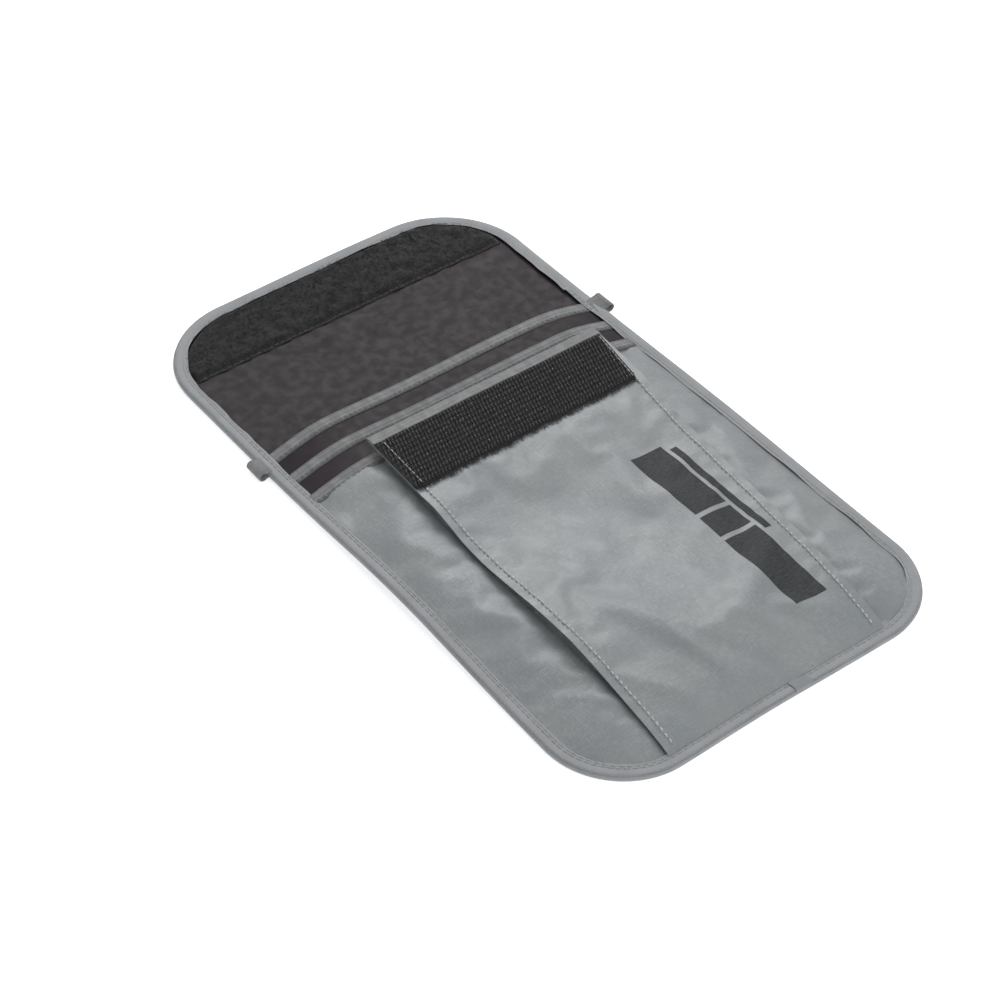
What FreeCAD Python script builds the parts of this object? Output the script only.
import FreeCAD, Part
import os
import re
import Sketcher

# A flat travel pouch worn on a neck cord, lying open on its back.
# +X runs across it, +Y runs from its bottom edge to the tip of its flap, +Z points up out of its
# front. The origin is on the resting surface, under the middle of the open pouch. Millimetres.

DIMENSIONS = [
    # alias, value, what it is
    ("pouch_width", 140, "width over the edge binding"),
    ("open_length", 256, "bottom edge to flap tip, flap open"),
    ("bottom_radius", 28.5, "rounded bottom corners"),
    ("flap_radius", 33, "rounded flap corners"),
    ("binding_width", 5, "width of the folded edge tape that shows on each face"),
    ("binding_ply", 0.4, "thickness of the edge tape"),
    ("seam_inset", 0.55, "cut edges of the cloth, inside the edge tape's fold"),
    ("body_edge_height", 2.4, "thickness of the bound edge where all layers meet"),
    ("flap_edge_height", 2.0, "thickness of the bound edge around the flap"),
    ("panel_ply", 0.4, "coated outer cloth"),
    ("lining_ply", 0.3, "lining and pocket cloth"),
    ("skirt", 14, "width over which a pocket panel rises from its seam"),
    ("front_skirt", 16, "length over which the front pocket's face rises from its seam"),
    ("note_depth", 4.4, "depth of the full-size compartment for notes"),
    ("card_gap", 0.15, "space between the card pocket panels at rest"),
    ("tape_width", 4.5, "tape folded over a pocket's mouth"),
    ("tape_ply", 0.5, "thickness of that tape on the outer face"),
    ("rear_mouth_y", 52.8, "mouth of the rear card pocket"),
    ("mouth_step", 12.5, "each pocket mouth is lower than the one behind it"),
    ("bellows_depth", 4.8, "depth of the front pocket's side gussets"),
    ("front_left_x", -43.5, "left edge of the front pocket"),
    ("front_left_top_x", -41, "left edge of the front pocket, at its mouth"),
    ("front_lean_y", -25, "above this the left edge leans toward the mouth"),
    ("front_right_top_x", 52.5, "right edge of the front pocket, at its mouth"),
    ("front_right_bottom_x", 41.4, "right edge of the front pocket, at its bottom seam"),
    ("front_bottom_y", -122, "bottom seam of the front pocket"),
    ("front_mouth_y", 31.5, "mouth of the front pocket"),
    ("gusset_left_low_x", -43.4, "outer face of the left gusset, at its bottom"),
    ("gusset_left_high_x", -41.2, "outer face of the left gusset, at its top"),
    ("gusset_right_low_x", 42, "outer face of the right gusset, at its bottom"),
    ("gusset_right_high_x", 51, "outer face of the right gusset, at its top"),
    ("hook_left_x", -41, "left end of the hook tape, along its upper edge"),
    ("hook_right_x", 51.5, "right end of the hook tape, along its upper edge"),
    ("hook_left_skew", 1.2, "how far the left end's lower corner leans to the left"),
    ("hook_right_skew", 4, "how far the right end's lower corner leans to the left"),
    ("hem_right_inset", 0.4, "right end of the mouth's hem, inside the front pocket's corner"),
    ("hook_width", 25, "width of the hook tape"),
    ("hook_height", 1.6, "thickness of the hook tape"),
    ("loop_width", 25, "width of the loop tape"),
    ("loop_height", 1.8, "thickness of the loop tape with its pile"),
    ("closing_gap", 0.3, "play between hook tape and loop tape, flap shut"),
    ("fold_y", 55.35, "crease between the pouch and the fold band"),
    ("crease_gap", 1.5, "edge tape left free on each side of a crease"),
    ("stitch_width", 0.3, "width of a row of stitching"),
    ("stitch_height", 0.1, "height of a row of stitching"),
    ("edge_row_inset", 1, "inner row of stitching, from the edge tape's inner edge"),
    ("edge_row_pitch", 0.9, "between the edge tape's two rows"),
    ("tape_row_inset", 0.8, "row of stitching, from the lower edge of a mouth tape"),
    ("loop_row_inset", 2, "rows of stitching, from the loop tape's long edges"),
    ("loop_row_half", 40, "half the length of the loop tape's upper row"),
    ("hook_left_inset", 2.9, "row of stitching across the hook tape, from its left end"),
    ("hook_right_inset", 1.1, "row of stitching across the hook tape, from its right end"),
    ("hook_row_inset", 2, "rows of stitching along the hook tape, from its long edges"),
    ("left_row_low_x", -40.5, "row inside the front pocket's left edge, at its bottom end"),
    ("left_row_high_x", -39.5, "row inside the front pocket's left edge, at its top end"),
    ("right_row_low_x", 39.5, "row inside the front pocket's right edge, at its bottom end"),
    ("right_row_high_x", 46.3, "row inside the front pocket's right edge, at its top end"),
    ("side_row_gap", 0.5, "from those rows to the hook tape"),
    ("print_height", 0.05, "thickness of the printed ink"),
    ("print_left_x", 22, "left side of the printed blocks"),
    ("print_low_y", -105, "lower end of the printed blocks"),
    ("print_width", 12.5, "width of the printed blocks"),
    ("print_low_length", 33, "length of the lowest block"),
    ("print_mid_length", 10, "length of the middle block"),
    ("print_high_length", 32, "length of the highest block"),
    ("print_gap", 2, "between the blocks"),
    ("print_line_gap", 1.5, "between the blocks and the thin line"),
    ("print_line_width", 2.5, "width of the thin line"),
    ("print_line_start", 30, "lower end of the thin line, above the lower end of the blocks"),
    ("print_line_length", 46, "length of the thin line"),
    ("cord_hole_radius", 1.25, "hole through a cord loop"),
    ("cord_loop_radius", 1.75, "outside of a cord loop"),
    ("cord_loop_x", 71.85, "centre of a cord loop"),
    ("cord_loop_y", 53.2, "end of a cord loop nearest the flap"),
    ("cord_loop_length", 8, "width of the webbing that makes a cord loop"),
    ("cord_tail_inset", 0.3, "from a cord loop's tail to the pocket panels"),
    ("cord_tail_overlap", 0.25, "how far the tail reaches into the loop's wall"),
    ("cord_notch_play", 0.1, "play beside a cord loop in the edge tape's notch"),
    ("seam_play", 0.05, "play between the layers in a seam"),
    ("bend_offset", 0.2, "shift of the face's bend through the cloth's thickness"),
    ("clearance", 0.02, "play between faces that lie on each other"),
    ("overrun", 1, "how far a cut runs past the solid that it cuts"),
]

doc = FreeCAD.newDocument("NeckPouch")
sheet = doc.addObject("Spreadsheet::Sheet", "Dimensions")
for row, (alias, number, note) in enumerate(DIMENSIONS, start=1):
    sheet.set(f"A{row}", str(number))
    sheet.setAlias(f"A{row}", alias)
    sheet.set(f"B{row}", note)
doc.recompute()


# Sizes that follow from the driving dimensions, each a formula over the sheet's names.

HALF_WIDTH = "pouch_width / 2"
BOTTOM_Y = "(-open_length / 2)"
TIP_Y = "(open_length / 2)"
PANEL_Z = "binding_ply"
LINING_Z = f"({PANEL_Z} + panel_ply)"
CREASE_Z = f"({LINING_Z} + lining_ply)"
POCKET_PITCH = "(lining_ply + card_gap)"
FRONT_TOP_Z = f"({CREASE_Z} + note_depth + 2 * {POCKET_PITCH} + lining_ply)"
PATCH_Z = f"({FRONT_TOP_Z} + bellows_depth)"
PATCH_TOP_Z = f"({PATCH_Z} + panel_ply)"
HOOK_TOP_Z = f"({PATCH_TOP_Z} + hook_height)"
HOOK_TOP_Y = "(front_mouth_y - tape_width)"
BAND_WIDTH = f"({HOOK_TOP_Z} + closing_gap + loop_height - {CREASE_Z})"
FLAP_Y = f"(fold_y + {BAND_WIDTH})"
FRONT_MOUTH_Y = "(rear_mouth_y - 2 * mouth_step)"
HOOK_LOW_Y = f"({HOOK_TOP_Y} - hook_width)"
FRONT_RISE_Y = "(front_bottom_y + front_skirt)"


def formula(text):
    """The text with each name pointing at the sheet, for setExpression."""
    return re.sub(r"[a-z]\w+", lambda name: "Dimensions." + name.group(0), text)


def size(text):
    """The formula's present value."""
    return float(sheet.evalExpression(formula(text)))


def bind(target, setting, text):
    target.setExpression(setting, formula(text))


def new_body(node):
    body = doc.addObject("PartDesign::Body", node)
    body.Label = node
    return body


def new_sketch(body, role, offset):
    """A sketch on one of the body's own planes, moved along the plane's normal by offset."""
    number = len(body.Group) + 1
    sketch = body.newObject("Sketcher::SketchObject", f"{body.Label}_sketch_{number}")
    plane = next(part for part in body.Origin.OriginFeatures if part.Role == role)
    sketch.AttachmentSupport = [(plane, "")]
    sketch.MapMode = "FlatFace"
    bind(sketch, "AttachmentOffset.Base.z", offset)
    return sketch


def fix_distance(sketch, kind, edge, end, text, name):
    """A named distance from the sketch's axis to a point, driven by the sheet."""
    sketch.addConstraint(Sketcher.Constraint(kind, edge, end, size(text)))
    sketch.renameConstraint(sketch.ConstraintCount - 1, name)
    bind(sketch, f"Constraints.{name}", text)


def draw_polygon(sketch, corners, name="corner"):
    """A closed polygon whose corners are pairs of formulas."""
    places = [FreeCAD.Vector(size(across), size(along), 0) for across, along in corners]
    first = sketch.GeometryCount
    count = len(corners)
    for index in range(count):
        sketch.addGeometry(Part.LineSegment(places[index], places[(index + 1) % count]), False)
    for index, (across, along) in enumerate(corners):
        following = first + (index + 1) % count
        sketch.addConstraint(Sketcher.Constraint("Coincident", first + index, 2, following, 1))
        fix_distance(sketch, "DistanceX", first + index, 1, across, f"{name}_{index}_across")
        fix_distance(sketch, "DistanceY", first + index, 1, along, f"{name}_{index}_along")


def draw_rectangle(sketch, left, right, low, high, name="corner"):
    draw_polygon(sketch, [(left, low), (right, low), (right, high), (left, high)], name)


def draw_tab(sketch, half_width, straight_y, round_y, radius):
    """A tab: square at straight_y, with two rounded corners at round_y."""
    half, cut, end, bend = size(half_width), size(straight_y), size(round_y), size(radius)
    toward = 1 if cut > end else -1
    spring_y = end + toward * bend
    top_left, left = FreeCAD.Vector(-half, cut), FreeCAD.Vector(-half, spring_y)
    top_right, right = FreeCAD.Vector(half, cut), FreeCAD.Vector(half, spring_y)
    low_left, low_right = FreeCAD.Vector(-half + bend, end), FreeCAD.Vector(half - bend, end)
    diagonal = bend * 0.5 ** 0.5
    mid_left = FreeCAD.Vector(-half + bend - diagonal, spring_y - toward * diagonal)
    mid_right = FreeCAD.Vector(half - bend + diagonal, spring_y - toward * diagonal)
    shape = [
        Part.LineSegment(top_right, top_left),
        Part.LineSegment(top_left, left),
        Part.Arc(left, mid_left, low_left),
        Part.LineSegment(low_left, low_right),
        Part.Arc(low_right, mid_right, right),
        Part.LineSegment(right, top_right),
    ]
    sketch.addGeometry(shape, False)
    # An arc runs anticlockwise, so which of its ends is first depends on the tab's direction.
    arc_start, arc_end = (1, 2) if toward > 0 else (2, 1)
    joins = [(0, 2, 1, 1), (5, 2, 0, 1)]
    tangents = [(1, 2, 2, arc_start), (2, arc_end, 3, 1), (3, 2, 4, arc_start), (4, arc_end, 5, 1)]
    for join in joins:
        sketch.addConstraint(Sketcher.Constraint("Coincident", *join))
    for tangent in tangents:
        sketch.addConstraint(Sketcher.Constraint("Tangent", *tangent))
    for edge in (1, 5):
        sketch.addConstraint(Sketcher.Constraint("Vertical", edge))
    sketch.addConstraint(Sketcher.Constraint("Horizontal", 3))
    sketch.addConstraint(Sketcher.Constraint("Symmetric", 0, 1, 0, 2, -2))
    sketch.addConstraint(Sketcher.Constraint("Equal", 2, 4))
    fix_distance(sketch, "DistanceX", 0, 1, half_width, "half_width")
    fix_distance(sketch, "DistanceY", 0, 1, straight_y, "straight_y")
    fix_distance(sketch, "DistanceY", 3, 1, round_y, "round_y")
    sketch.addConstraint(Sketcher.Constraint("Radius", 2, bend))
    sketch.renameConstraint(sketch.ConstraintCount - 1, "corner_radius")
    bind(sketch, "Constraints.corner_radius", radius)


def add_pad(body, sketch, length, down=False):
    pad = body.newObject("PartDesign::Pad", f"{sketch.Label}_pad")
    pad.Profile = sketch
    pad.Reversed = down
    bind(pad, "Length", length)
    sketch.Visibility = False
    return pad


def add_pocket(body, sketch, length):
    """Cuts along the sketch's negative normal, and makes sure that something was cut."""
    doc.recompute()
    before = body.Shape.Volume
    pocket = body.newObject("PartDesign::Pocket", f"{sketch.Label}_pocket")
    pocket.Profile = sketch
    bind(pocket, "Length", length)
    doc.recompute()
    if body.Shape.Volume > before - 0.01:
        raise RuntimeError(f"{pocket.Label} cut nothing")
    return pocket


def body_tab(sketch, inset, straight_y):
    """The pouch's outline, moved inward by inset."""
    round_y = f"{BOTTOM_Y} + {inset}"
    draw_tab(sketch, f"{HALF_WIDTH} - {inset}", straight_y, round_y, f"bottom_radius - {inset}")


def flap_tab(sketch, inset, straight_y):
    """The flap's outline, moved inward by inset."""
    round_y = f"{TIP_Y} - {inset}"
    draw_tab(sketch, f"{HALF_WIDTH} - {inset}", straight_y, round_y, f"flap_radius - {inset}")


def flat_layer(node, tab, straight_y, low_z, ply):
    """One flat layer of cloth under the edge tape."""
    body = new_body(node)
    sketch = new_sketch(body, "XY_Plane", low_z)
    tab(sketch, "seam_inset", straight_y)
    add_pad(body, sketch, ply)
    return body


def band_layer(node, low_z, ply):
    """One flat layer of the band between the two creases."""
    body = new_body(node)
    sketch = new_sketch(body, "XY_Plane", low_z)
    half = f"({HALF_WIDTH} - seam_inset)"
    draw_rectangle(sketch, f"-{half}", half, "fold_y + clearance", f"{FLAP_Y} - clearance")
    add_pad(body, sketch, ply)
    return body


def edge_strip(body, tab, outer, inner, straight_y, beyond_y, low_z, height):
    """A strip that follows an outline, between two insets, open at the straight end."""
    outline = new_sketch(body, "XY_Plane", low_z)
    tab(outline, outer, straight_y)
    add_pad(body, outline, height)
    opening = new_sketch(body, "XY_Plane", f"{low_z} + {height}")
    tab(opening, inner, beyond_y)
    add_pocket(body, opening, height)


def edge_binding(node, tab, straight_y, beyond_y, height):
    """Tape folded over the edge: an outer wall and two legs, with the cloth between them."""
    body = new_body(node)
    edge_strip(body, tab, "0", "binding_width", straight_y, beyond_y, "0", height)
    channel = new_sketch(body, "XY_Plane", f"{height} - binding_ply")
    tab(channel, "binding_ply", beyond_y)
    add_pocket(body, channel, f"{height} - 2 * binding_ply")
    return body


def edge_stitching(node, tab, straight_y, beyond_y, low_z):
    """Two rows of stitching near the inner edge of the edge tape."""
    rows = []
    for number in (1, 2):
        row = new_body(node if number == 1 else f"{node}_row_{number}")
        outer = f"(binding_width - edge_row_inset - {number - 1} * edge_row_pitch)"
        inner = f"({outer} + stitch_width)"
        edge_strip(row, tab, outer, inner, straight_y, beyond_y, low_z, "stitch_height")
        rows.append(row)
    return join_nodes(node, rows)


def join_nodes(node, bodies):
    """Separate solids that share one node."""
    group = doc.addObject("Part::Compound", f"{node}_group")
    group.Links = bodies
    bodies[0].Label = f"{node}_row_1"
    group.Label = node
    return group


def pocket_profile(body, pocket, low, high, y_place):
    """The pocket panel's cross-section across the pouch, as wide as the edge tape leaves free."""
    seam = f"({CREASE_Z} + {pocket} * lining_ply)"
    crown = f"({CREASE_Z} + note_depth + {pocket} * {POCKET_PITCH})"
    foot = f"({HALF_WIDTH} - binding_width - clearance)"
    shoulder = f"({HALF_WIDTH} - binding_width - skirt)"
    sketch = new_sketch(body, "XZ_Plane", f"-({y_place})")
    upper = [(f"-{foot}", seam), (f"-{shoulder}", crown), (shoulder, crown), (foot, seam)]
    corners = [(across, f"{height} + {high}") for across, height in upper]
    corners += [(across, f"{height} + {low}") for across, height in reversed(upper)]
    draw_polygon(sketch, corners)
    return sketch


def pocket_panel(node, pocket, mouth_y):
    """A pocket panel: flat in the side seams, raised in the middle, open at its mouth."""
    body = new_body(node)
    seam = f"({CREASE_Z} + {pocket} * lining_ply)"
    crown = f"({CREASE_Z} + note_depth + {pocket} * {POCKET_PITCH})"
    flange = new_sketch(body, "XY_Plane", seam)
    body_tab(flange, "seam_inset", mouth_y)
    add_pad(body, flange, "lining_ply")
    for kind, lift, end_y in (
        ("PartDesign::AdditiveLoft", "lining_ply", mouth_y),
        ("PartDesign::SubtractiveLoft", "0", f"{mouth_y} + overrun"),
    ):
        foot = new_sketch(body, "XY_Plane", f"{seam} + {lift}")
        body_tab(foot, "binding_width", end_y)
        top = new_sketch(body, "XY_Plane", f"{crown} + {lift}")
        body_tab(top, "(binding_width + skirt)", end_y)
        loft = body.newObject(kind, f"{foot.Label}_loft")
        loft.Profile = foot
        loft.Sections = [top]
        loft.Ruled = True
        doc.recompute()
    return body


def mouth_tape(node, pocket, mouth_y):
    """Tape folded over a pocket's mouth: it lies on the panel and closes over its cut edge."""
    body = new_body(node)
    low = "lining_ply + clearance"
    high = "lining_ply + tape_ply"
    face = pocket_profile(body, pocket, low, high, f"{mouth_y} + tape_ply")
    add_pad(body, face, "tape_width")
    edge = pocket_profile(body, pocket, "0", high, f"{mouth_y} + tape_ply")
    add_pad(body, edge, "tape_ply - clearance")
    return body


def tape_stitching(node, mouths):
    """A row of stitching along the lower edge of each mouth tape, on its level stretch."""
    body = new_body(node)
    half = f"({HALF_WIDTH} - binding_width - skirt)"
    for pocket, mouth_y in enumerate(mouths):
        tape_top = f"({CREASE_Z} + note_depth + {pocket} * {POCKET_PITCH} + lining_ply + tape_ply)"
        sketch = new_sketch(body, "XY_Plane", tape_top)
        row_y = f"({mouth_y} + tape_ply - tape_width + tape_row_inset)"
        draw_rectangle(sketch, f"-{half}", half, row_y, f"{row_y} + stitch_width")
        add_pad(body, sketch, "stitch_height")
    return body


def band_binding(node):
    """The edge tape of the fold band, one piece on each side."""
    body = new_body(node)
    low_y, high_y = "fold_y + crease_gap", f"{FLAP_Y} - crease_gap"
    for side in ("-1", "1"):
        outer = f"({side} * {HALF_WIDTH})"
        inner = f"({side} * ({HALF_WIDTH} - binding_width))"
        left, right = (outer, inner) if side == "-1" else (inner, outer)
        sketch = new_sketch(body, "XY_Plane", "0")
        draw_rectangle(sketch, left, right, low_y, high_y)
        add_pad(body, sketch, "flap_edge_height")
    channel = new_sketch(body, "XY_Plane", "flap_edge_height - binding_ply")
    half = f"({HALF_WIDTH} - binding_ply)"
    draw_rectangle(channel, f"-{half}", half, f"{low_y} - overrun", f"{high_y} + overrun")
    add_pocket(body, channel, "flap_edge_height - 2 * binding_ply")
    return body


def loop_tape():
    """The soft half of the closure, on the flap: its far corners follow the edge tape."""
    body = new_body("loop_tape")
    sketch = new_sketch(body, "XY_Plane", f"{CREASE_Z} + clearance")
    spring_y = f"({TIP_Y} - flap_radius - overrun)"
    flap_tab(sketch, "(binding_width + clearance)", spring_y)
    add_pad(body, sketch, "loop_height - clearance")
    offcut = new_sketch(body, "XY_Plane", f"{CREASE_Z} + loop_height")
    low_y = f"{TIP_Y} - binding_width - loop_width"
    draw_rectangle(offcut, f"-{HALF_WIDTH}", HALF_WIDTH, f"{spring_y} - overrun", low_y)
    add_pocket(body, offcut, "loop_height")
    return body


def loop_tape_stitching():
    """Rows of stitching along the two straight edges of the loop tape."""
    body = new_body("loop_tape_stitching")
    edge_y = f"({TIP_Y} - binding_width)"
    long_half = f"{HALF_WIDTH} - binding_width - loop_row_inset"
    rows = (
        (f"{edge_y} - loop_width + loop_row_inset", long_half),
        (f"{edge_y} - loop_row_inset", "loop_row_half"),
    )
    for row_y, half in rows:
        sketch = new_sketch(body, "XY_Plane", f"{CREASE_Z} + loop_height")
        draw_rectangle(sketch, f"-({half})", half, row_y, f"{row_y} + stitch_width")
        add_pad(body, sketch, "stitch_height")
    return body


def front_pocket_panel():
    """The front pocket's face: it leaves the bottom seam, rises and then lies level."""
    body = new_body("front_pocket_panel")
    sketch = new_sketch(body, "YZ_Plane", "front_left_x")
    seam_z = "body_edge_height + seam_play"
    side = [
        ("front_bottom_y", seam_z),
        (FRONT_RISE_Y, PATCH_Z),
        ("front_mouth_y", PATCH_Z),
        ("front_mouth_y", PATCH_TOP_Z),
        (f"{FRONT_RISE_Y} - bend_offset", PATCH_TOP_Z),
        ("front_bottom_y", f"{seam_z} + panel_ply"),
    ]
    draw_polygon(sketch, side)
    add_pad(body, sketch, "front_right_top_x - front_left_x")
    trim = new_sketch(body, "XY_Plane", f"{PATCH_TOP_Z} + overrun")
    slant = [
        ("front_right_bottom_x", "front_bottom_y"),
        ("front_right_bottom_x", "front_bottom_y - overrun"),
        ("front_right_top_x + overrun", "front_bottom_y - overrun"),
        ("front_right_top_x + overrun", "front_mouth_y"),
        ("front_right_top_x", "front_mouth_y"),
    ]
    draw_polygon(trim, slant, "slant")
    lean = [
        ("front_left_x", "front_lean_y"),
        ("front_left_top_x", "front_mouth_y"),
        ("front_left_x - overrun", "front_mouth_y"),
        ("front_left_x - overrun", "front_lean_y"),
    ]
    draw_polygon(trim, lean, "lean")
    add_pocket(body, trim, PATCH_TOP_Z)
    return body


def gusset(node, low_x, high_x):
    """A side gusset of the front pocket, standing between the two panels."""
    body = new_body(node)
    sketch = new_sketch(body, "XY_Plane", f"{FRONT_TOP_Z} + clearance")
    high_y = f"{FRONT_MOUTH_Y} - tape_width"
    ends = [
        (low_x, FRONT_RISE_Y),
        (f"{low_x} + lining_ply", FRONT_RISE_Y),
        (f"{high_x} + lining_ply", high_y),
        (high_x, high_y),
    ]
    draw_polygon(sketch, ends)
    add_pad(body, sketch, "bellows_depth - 2 * clearance")
    return body


def front_pocket_gussets():
    """Both gussets: each is one straight wall just inside the face's edge."""
    gusset("front_pocket_gusset_left", "gusset_left_low_x", "gusset_left_high_x")
    low, high = "gusset_right_low_x - lining_ply", "gusset_right_high_x - lining_ply"
    gusset("front_pocket_gusset_right", low, high)


def draw_hook_outline(sketch, left_inset, right_inset, low_y, high_y, name):
    """The hook tape's outline moved in at its ends: both ends lean to the left going down."""
    low_left = f"hook_left_x - hook_left_skew + {left_inset}"
    low_right = f"hook_right_x - hook_right_skew - {right_inset}"
    high_left, high_right = f"hook_left_x + {left_inset}", f"hook_right_x - {right_inset}"
    corners = [(low_left, low_y), (low_right, low_y), (high_right, high_y), (high_left, high_y)]
    draw_polygon(sketch, corners, name)


def hook_tape():
    """The stiff half of the closure, on the front pocket."""
    body = new_body("hook_tape")
    sketch = new_sketch(body, "XY_Plane", f"{PATCH_TOP_Z} + clearance")
    draw_hook_outline(sketch, "0", "0", HOOK_LOW_Y, f"{HOOK_TOP_Y} - clearance", "corner")
    add_pad(body, sketch, "hook_height - clearance")
    return body


def hook_tape_stitching():
    """A loop of stitching that holds the hook tape down."""
    body = new_body("hook_tape_stitching")
    sketch = new_sketch(body, "XY_Plane", HOOK_TOP_Z)
    low_y, high_y = f"{HOOK_LOW_Y} + hook_row_inset", f"{HOOK_TOP_Y} - hook_row_inset"
    draw_hook_outline(sketch, "hook_left_inset", "hook_right_inset", low_y, high_y, "corner")
    low_y, high_y = f"{low_y} + stitch_width", f"{high_y} - stitch_width"
    left, right = "(hook_left_inset + stitch_width)", "(hook_right_inset + stitch_width)"
    draw_hook_outline(sketch, left, right, low_y, high_y, "inner")
    add_pad(body, sketch, "stitch_height")
    return body


def front_pocket_hem():
    """The folded strip along the front pocket's mouth."""
    body = new_body("front_pocket_hem")
    sketch = new_sketch(body, "XY_Plane", f"{PATCH_TOP_Z} + clearance")
    right = "front_right_top_x - hem_right_inset"
    draw_rectangle(sketch, "front_left_top_x", right, HOOK_TOP_Y, "front_mouth_y")
    add_pad(body, sketch, "tape_ply")
    return body


def front_pocket_stitching():
    """A row of stitching inside each side edge of the front pocket, below the hook tape."""
    body = new_body("front_pocket_stitching")
    high_y = f"{HOOK_LOW_Y} - side_row_gap"
    rows = (("left_row_low_x", "left_row_high_x"), ("right_row_low_x", "right_row_high_x"))
    for low_x, high_x in rows:
        sketch = new_sketch(body, "XY_Plane", PATCH_TOP_Z)
        corners = [
            (low_x, FRONT_RISE_Y),
            (high_x, high_y),
            (f"{high_x} + stitch_width", high_y),
            (f"{low_x} + stitch_width", FRONT_RISE_Y),
        ]
        draw_polygon(sketch, corners)
        add_pad(body, sketch, "stitch_height")
    return body


def printed_mark():
    """Plain printed bars: three blocks in one line and a thin line beside them."""
    body = new_body("printed_mark")
    right_x = "(print_left_x + print_width)"
    mid_y = "(print_low_y + print_low_length + print_gap)"
    high_y = f"({mid_y} + print_mid_length + print_gap)"
    line_x = f"({right_x} + print_line_gap)"
    line_y = "(print_low_y + print_line_start)"
    bars = [
        ("print_left_x", right_x, "print_low_y", "print_low_y + print_low_length"),
        ("print_left_x", right_x, mid_y, f"{mid_y} + print_mid_length"),
        ("print_left_x", right_x, high_y, f"{high_y} + print_high_length"),
        (line_x, f"{line_x} + print_line_width", line_y, f"{line_y} + print_line_length"),
    ]
    for edges in bars:
        sketch = new_sketch(body, "XY_Plane", PATCH_TOP_Z)
        draw_rectangle(sketch, *edges)
        add_pad(body, sketch, "print_height")
    return body


def cord_loop(node, side):
    """A short webbing loop for the neck cord: a round eye beside the edge, a tail in the seam."""
    body = new_body(node)
    eye = new_sketch(body, "XZ_Plane", "-cord_loop_y")
    middle_x, middle_z = f"{side} * cord_loop_x", "cord_loop_radius"
    centre = FreeCAD.Vector(size(middle_x), size(middle_z), 0)
    for index, radius in enumerate(("cord_loop_radius", "cord_hole_radius")):
        eye.addGeometry(Part.Circle(centre, FreeCAD.Vector(0, 0, 1), size(radius)), False)
        fix_distance(eye, "DistanceX", index, 3, middle_x, f"middle_x_{index}")
        fix_distance(eye, "DistanceY", index, 3, middle_z, f"middle_z_{index}")
        eye.addConstraint(Sketcher.Constraint("Radius", index, size(radius)))
        eye.renameConstraint(eye.ConstraintCount - 1, f"radius_{index}")
        bind(eye, f"Constraints.radius_{index}", radius)
    add_pad(body, eye, "cord_loop_length")
    tail = new_sketch(body, "XZ_Plane", "-cord_loop_y")
    inner = f"{side} * ({HALF_WIDTH} - binding_width + cord_tail_inset)"
    outer = f"{side} * (cord_loop_x - cord_loop_radius + cord_tail_overlap)"
    left, right = (outer, inner) if side == "-1" else (inner, outer)
    low_z, high_z = f"{CREASE_Z} + lining_ply + seam_play", "body_edge_height - binding_ply - seam_play"
    draw_rectangle(tail, left, right, low_z, high_z)
    add_pad(body, tail, "cord_loop_length")
    return body


def body_binding():
    """The pouch's edge tape, notched on each side where a cord loop leaves the seam."""
    end_y, beyond_y = "fold_y - crease_gap", "fold_y + overrun"
    body = edge_binding("body_binding", body_tab, end_y, beyond_y, "body_edge_height")
    notch = new_sketch(body, "XY_Plane", "body_edge_height - binding_ply")
    half = f"({HALF_WIDTH} + overrun)"
    low_y = "cord_loop_y - cord_loop_length - cord_notch_play"
    high_y = "cord_loop_y + cord_notch_play"
    draw_rectangle(notch, f"-{half}", half, low_y, high_y)
    add_pocket(body, notch, f"body_edge_height - binding_ply - {CREASE_Z} - lining_ply")
    return body


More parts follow.
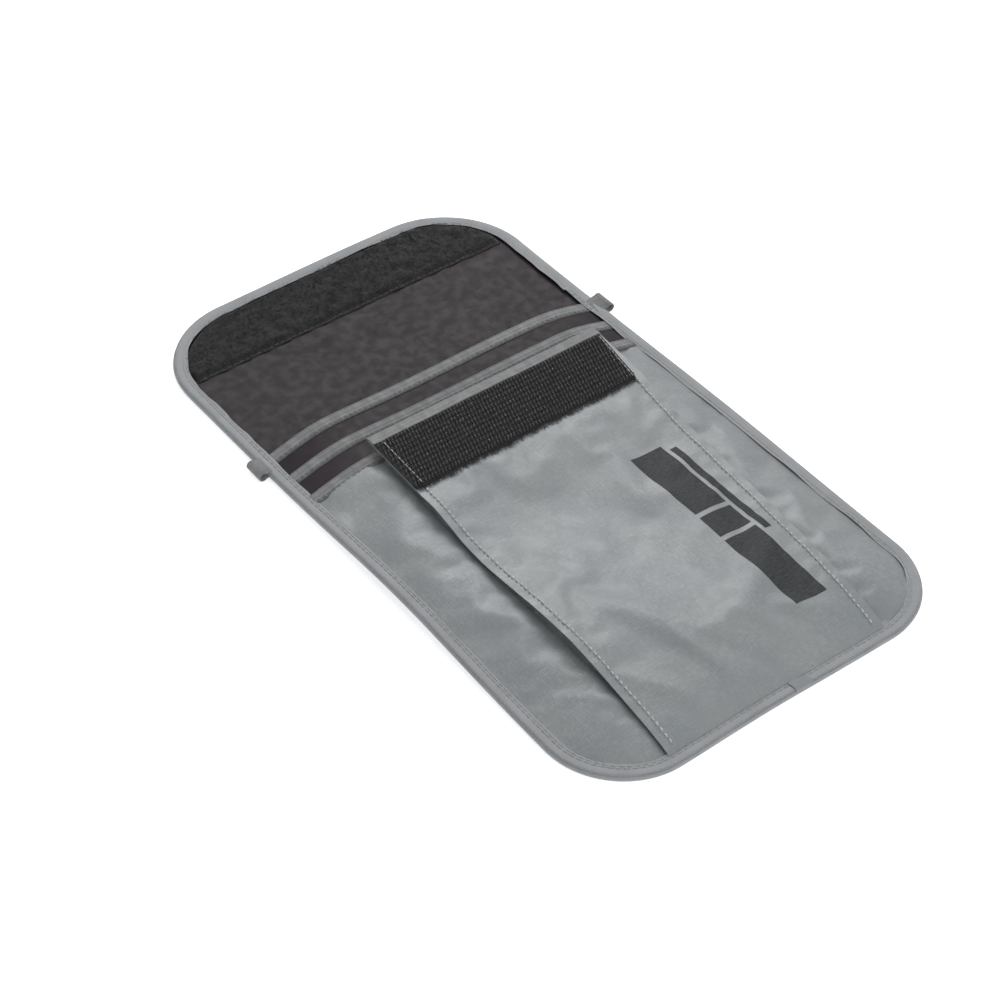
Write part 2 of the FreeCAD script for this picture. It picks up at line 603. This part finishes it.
def build_pouch():
    """Everything that stays still when the flap moves."""
    flat_layer("rear_panel", body_tab, "fold_y - clearance", PANEL_Z, "panel_ply")
    flat_layer("rear_lining", body_tab, "fold_y - clearance", LINING_Z, "lining_ply")
    mouths = ["rear_mouth_y", "(rear_mouth_y - mouth_step)", FRONT_MOUTH_Y]
    names = ["card_pocket_rear", "card_pocket_middle", "front_panel"]
    for pocket, (name, mouth_y) in enumerate(zip(names, mouths)):
        pocket_panel(name, pocket, mouth_y)
        mouth_tape(f"{name}_tape", pocket, mouth_y)
    tape_stitching("pocket_tape_stitching", mouths)
    body_binding()
    end_y, beyond_y = "fold_y - crease_gap", "fold_y + overrun"
    edge_stitching("body_binding_stitching", body_tab, end_y, beyond_y, "body_edge_height")
    cord_loop("cord_loop_left", "-1")
    cord_loop("cord_loop_right", "1")
    front_pocket_gussets()


def build_front_pocket():
    """The pocket's face, which lifts and drops as its mouth opens and closes."""
    front_pocket_panel()
    front_pocket_hem()
    hook_tape()
    front_pocket_stitching()
    hook_tape_stitching()
    printed_mark()


def build_fold_band():
    """The strip between the two creases, which stands up when the flap is shut."""
    band_layer("fold_band_panel", PANEL_Z, "panel_ply")
    band_layer("fold_band_lining", LINING_Z, "lining_ply")
    band_binding("fold_band_binding")


def build_flap():
    start_y, beyond_y = f"({FLAP_Y} + crease_gap)", f"({FLAP_Y} - overrun)"
    flat_layer("flap_panel", flap_tab, f"{FLAP_Y} + clearance", PANEL_Z, "panel_ply")
    flat_layer("flap_lining", flap_tab, f"{FLAP_Y} + clearance", LINING_Z, "lining_ply")
    loop_tape()
    edge_binding("flap_binding", flap_tab, start_y, beyond_y, "flap_edge_height")
    edge_stitching("flap_binding_stitching", flap_tab, start_y, beyond_y, "flap_edge_height")
    loop_tape_stitching()


def finished_nodes():
    """The objects that stand for one node each: bodies outside any group, and groups."""
    groups = [item for item in doc.Objects if item.TypeId == "Part::Compound"]
    grouped = {member.Name for group in groups for member in group.Links}
    bodies = [item for item in doc.Objects if item.TypeId == "PartDesign::Body"]
    return [body for body in bodies if body.Name not in grouped] + groups


def check_document():
    for item in doc.Objects:
        if "Invalid" in item.State or "Error" in item.State:
            raise RuntimeError(f"{item.Label} failed: {item.State}")
    for node in finished_nodes():
        if node.Shape.isNull() or not node.Shape.isValid() or not node.Shape.Solids:
            raise RuntimeError(f"{node.Label} has no valid solid")


build_pouch()
build_front_pocket()
build_fold_band()
build_flap()
doc.recompute()
check_document()

os.makedirs("parts", exist_ok=True)
for node in finished_nodes():
    node.Shape.exportStep(f"parts/{node.Label}.step")
print("nodes:", len(finished_nodes()))
print("crease heights and places:", size(CREASE_Z), size("fold_y"), size(FLAP_Y))
print("front panel top and front pocket underside:", size(FRONT_TOP_Z), size(PATCH_Z))
